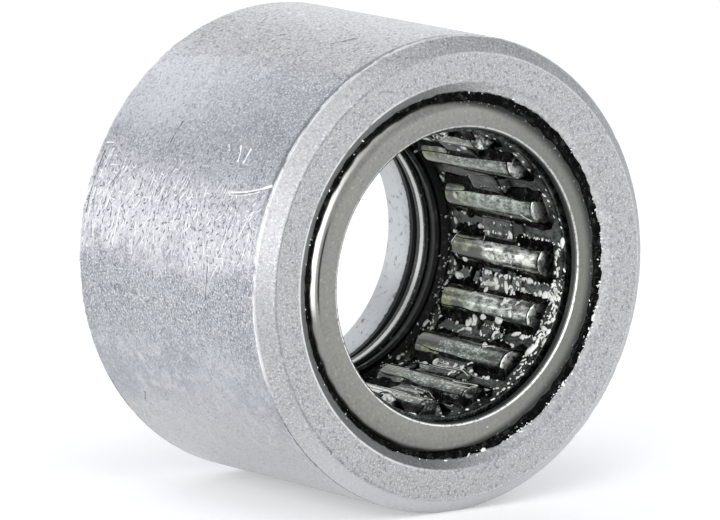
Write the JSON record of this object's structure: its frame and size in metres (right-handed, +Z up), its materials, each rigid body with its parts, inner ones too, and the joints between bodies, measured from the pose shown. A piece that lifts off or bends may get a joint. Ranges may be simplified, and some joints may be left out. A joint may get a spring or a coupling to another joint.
{
  "type": "needle roller bearing",
  "caption": "Caged needle roller bearing pressed in a thick chamfered steel sleeve, open at one end and sealed at the other.",
  "frame": {"origin": "on the bearing axis at the middle of the sleeve's width", "axes": "+Y along the bearing axis towards the sealed end, so the open end faces -Y; +Z up with the bearing lying on its outside diameter"},
  "size_m": [0.0278, 0.0194, 0.0278],
  "materials": {
    "sleeve_steel": "satin turned steel with fine scratches",
    "cup_steel": "warm grey satin hardened steel",
    "cage_steel": "dark oiled pressed steel",
    "needle_steel": "ground steel with a film of oil",
    "seal_rubber": "matt black rubber with a film of oil"
  },
  "bodies": {
    "housing": {"outer_sleeve": "sleeve_steel", "drawn_cup": "cup_steel", "shaft_seal": "seal_rubber"},
    "cage_set": {"cage": "cage_steel"},
    "needle_roller_01": {"needle_roller_01": "needle_steel"},
    "needle_roller_02": {"needle_roller_02": "needle_steel"},
    "needle_roller_03": {"needle_roller_03": "needle_steel"},
    "needle_roller_04": {"needle_roller_04": "needle_steel"},
    "needle_roller_05": {"needle_roller_05": "needle_steel"},
    "needle_roller_06": {"needle_roller_06": "needle_steel"},
    "needle_roller_07": {"needle_roller_07": "needle_steel"},
    "needle_roller_08": {"needle_roller_08": "needle_steel"},
    "needle_roller_09": {"needle_roller_09": "needle_steel"},
    "needle_roller_10": {"needle_roller_10": "needle_steel"},
    "needle_roller_11": {"needle_roller_11": "needle_steel"},
    "needle_roller_12": {"needle_roller_12": "needle_steel"},
    "needle_roller_13": {"needle_roller_13": "needle_steel"},
    "needle_roller_14": {"needle_roller_14": "needle_steel"},
    "needle_roller_15": {"needle_roller_15": "needle_steel"},
    "needle_roller_16": {"needle_roller_16": "needle_steel"}
  },
  "joints": [
    {"name": "cage_turn", "type": "hinge", "parent": "housing", "child": "cage_set", "pos_m": [0, 0, 0], "axis": [0, 1, 0], "continuous": true},
    {"name": "needle_01_spin", "type": "hinge", "parent": "cage_set", "child": "needle_roller_01", "pos_m": [0.00848, -0.00301, -0.00034], "axis": [0, 1, 0], "continuous": true},
    {"name": "needle_02_spin", "type": "hinge", "parent": "cage_set", "child": "needle_roller_02", "pos_m": [0.00797, -0.00301, 0.00293], "axis": [0, 1, 0], "continuous": true},
    {"name": "needle_03_spin", "type": "hinge", "parent": "cage_set", "child": "needle_roller_03", "pos_m": [0.00624, -0.00301, 0.00576], "axis": [0, 1, 0], "continuous": true},
    {"name": "needle_04_spin", "type": "hinge", "parent": "cage_set", "child": "needle_roller_04", "pos_m": [0.00356, -0.00301, 0.00771], "axis": [0, 1, 0], "continuous": true},
    {"name": "needle_05_spin", "type": "hinge", "parent": "cage_set", "child": "needle_roller_05", "pos_m": [0.00034, -0.00301, 0.00848], "axis": [0, 1, 0], "continuous": true},
    {"name": "needle_06_spin", "type": "hinge", "parent": "cage_set", "child": "needle_roller_06", "pos_m": [-0.00293, -0.00301, 0.00797], "axis": [0, 1, 0], "continuous": true},
    {"name": "needle_07_spin", "type": "hinge", "parent": "cage_set", "child": "needle_roller_07", "pos_m": [-0.00576, -0.00301, 0.00624], "axis": [0, 1, 0], "continuous": true},
    {"name": "needle_08_spin", "type": "hinge", "parent": "cage_set", "child": "needle_roller_08", "pos_m": [-0.00771, -0.00301, 0.00356], "axis": [0, 1, 0], "continuous": true},
    {"name": "needle_09_spin", "type": "hinge", "parent": "cage_set", "child": "needle_roller_09", "pos_m": [-0.00848, -0.00301, 0.00034], "axis": [0, 1, 0], "continuous": true},
    {"name": "needle_10_spin", "type": "hinge", "parent": "cage_set", "child": "needle_roller_10", "pos_m": [-0.00797, -0.00301, -0.00293], "axis": [0, 1, 0], "continuous": true},
    {"name": "needle_11_spin", "type": "hinge", "parent": "cage_set", "child": "needle_roller_11", "pos_m": [-0.00624, -0.00301, -0.00576], "axis": [0, 1, 0], "continuous": true},
    {"name": "needle_12_spin", "type": "hinge", "parent": "cage_set", "child": "needle_roller_12", "pos_m": [-0.00356, -0.00301, -0.00771], "axis": [0, 1, 0], "continuous": true},
    {"name": "needle_13_spin", "type": "hinge", "parent": "cage_set", "child": "needle_roller_13", "pos_m": [-0.00034, -0.00301, -0.00848], "axis": [0, 1, 0], "continuous": true},
    {"name": "needle_14_spin", "type": "hinge", "parent": "cage_set", "child": "needle_roller_14", "pos_m": [0.00293, -0.00301, -0.00797], "axis": [0, 1, 0], "continuous": true},
    {"name": "needle_15_spin", "type": "hinge", "parent": "cage_set", "child": "needle_roller_15", "pos_m": [0.00576, -0.00301, -0.00624], "axis": [0, 1, 0], "continuous": true},
    {"name": "needle_16_spin", "type": "hinge", "parent": "cage_set", "child": "needle_roller_16", "pos_m": [0.00771, -0.00301, -0.00356], "axis": [0, 1, 0], "continuous": true}
  ],
  "couplings": [
    {"joint": "needle_01_spin", "follows": "cage_turn", "ratio": -9.5},
    {"joint": "needle_02_spin", "follows": "cage_turn", "ratio": -9.5},
    {"joint": "needle_03_spin", "follows": "cage_turn", "ratio": -9.5},
    {"joint": "needle_04_spin", "follows": "cage_turn", "ratio": -9.5},
    {"joint": "needle_05_spin", "follows": "cage_turn", "ratio": -9.5},
    {"joint": "needle_06_spin", "follows": "cage_turn", "ratio": -9.5},
    {"joint": "needle_07_spin", "follows": "cage_turn", "ratio": -9.5},
    {"joint": "needle_08_spin", "follows": "cage_turn", "ratio": -9.5},
    {"joint": "needle_09_spin", "follows": "cage_turn", "ratio": -9.5},
    {"joint": "needle_10_spin", "follows": "cage_turn", "ratio": -9.5},
    {"joint": "needle_11_spin", "follows": "cage_turn", "ratio": -9.5},
    {"joint": "needle_12_spin", "follows": "cage_turn", "ratio": -9.5},
    {"joint": "needle_13_spin", "follows": "cage_turn", "ratio": -9.5},
    {"joint": "needle_14_spin", "follows": "cage_turn", "ratio": -9.5},
    {"joint": "needle_15_spin", "follows": "cage_turn", "ratio": -9.5},
    {"joint": "needle_16_spin", "follows": "cage_turn", "ratio": -9.5}
  ]
}
